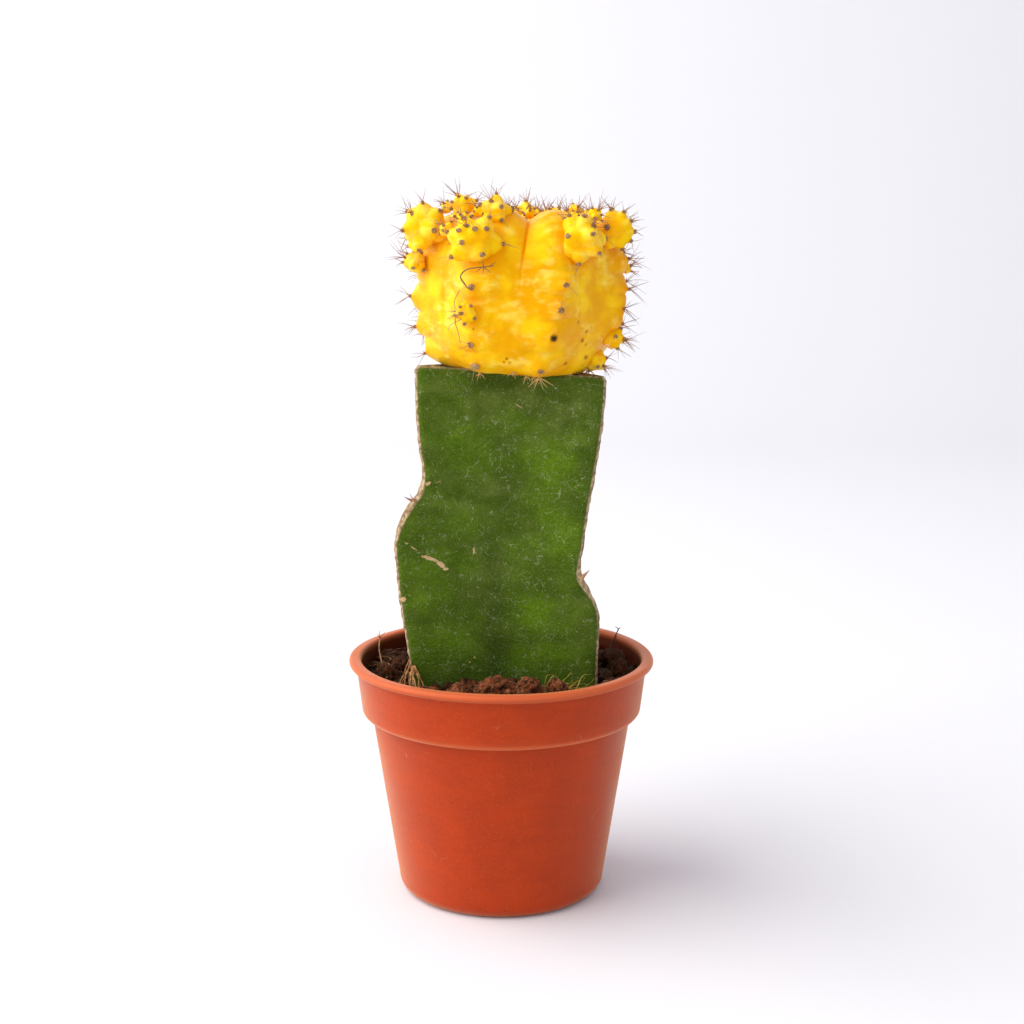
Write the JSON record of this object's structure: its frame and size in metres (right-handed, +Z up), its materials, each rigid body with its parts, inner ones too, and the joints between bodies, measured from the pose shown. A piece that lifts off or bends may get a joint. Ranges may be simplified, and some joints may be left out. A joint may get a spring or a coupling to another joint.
{
  "type": "potted round cactus",
  "caption": "Grafted moon cactus: a yellow globe with offsets and spines on a green three-winged stem, planted in peat in a small tapered pot with a collar.",
  "frame": {"origin": "middle of the pot's foot ring, on the surface the pot stands on", "axes": "+Z up along the pot's axis, -Y towards the front of the plant, +X to the right seen from the front"},
  "size_m": [0.055, 0.055, 0.1262],
  "materials": {
    "pot": "matte terracotta-coloured moulded plastic, slightly dusty",
    "soil": null,
    "rootstock": null,
    "scion": null,
    "offset": null,
    "spine": "dry brown spines on grey-brown wool",
    "thorn": "dry corky thorns",
    "root": "dry fibrous roots"
  },
  "bodies": {
    "root": {"dry_twig_left": "root", "offset_back_left": "offset", "offset_back_low": "offset", "offset_back_right": "offset", "offset_crown_rear": "offset", "offset_front_left": "offset", "offset_front_right": "offset", "offset_front_small": "offset", "offset_left_flank": "offset", "offset_left_rear": "offset", "offset_left_shoulder": "offset", "offset_right_flank": "offset", "offset_right_foot": "offset", "offset_right_low": "offset", "offset_right_rear": "offset", "offset_right_shoulder": "offset", "offset_top_front": "offset", "offset_top_left": "offset", "offset_top_right": "offset", "peat_clump_01": "soil", "peat_clump_02": "soil", "peat_clump_03": "soil", "peat_clump_04": "soil", "peat_clump_05": "soil", "peat_clump_06": "soil", "peat_clump_07": "soil", "peat_clump_08": "soil", "peat_clump_09": "soil", "peat_clump_10": "soil", "peat_clump_11": "soil", "pot": "pot", "root_left_inner": "root", "root_left_outer": "root", "root_right_front": "root", "rootstock": "rootstock", "scion": "scion", "soil": "soil", "spine_tuft_01": "spine", "spine_tuft_02": "spine", "spine_tuft_03": "spine", "spine_tuft_04": "spine", "spine_tuft_05": "spine", "spine_tuft_06": "spine", "spine_tuft_07": "spine", "spine_tuft_08": "spine", "spine_tuft_09": "spine", "spine_tuft_10": "spine", "spine_tuft_11": "spine", "spine_tuft_12": "spine", "spine_tuft_13": "spine", "spine_tuft_14": "spine", "spine_tuft_15": "spine", "spine_tuft_16": "spine", "spine_tuft_17": "spine", "spine_tuft_18": "spine", "spine_tuft_19": "spine", "spine_tuft_20": "spine", "stem_thorn_back": "thorn", "stem_thorn_left": "thorn", "stem_thorn_right": "thorn"}
  },
  "joints": []
}
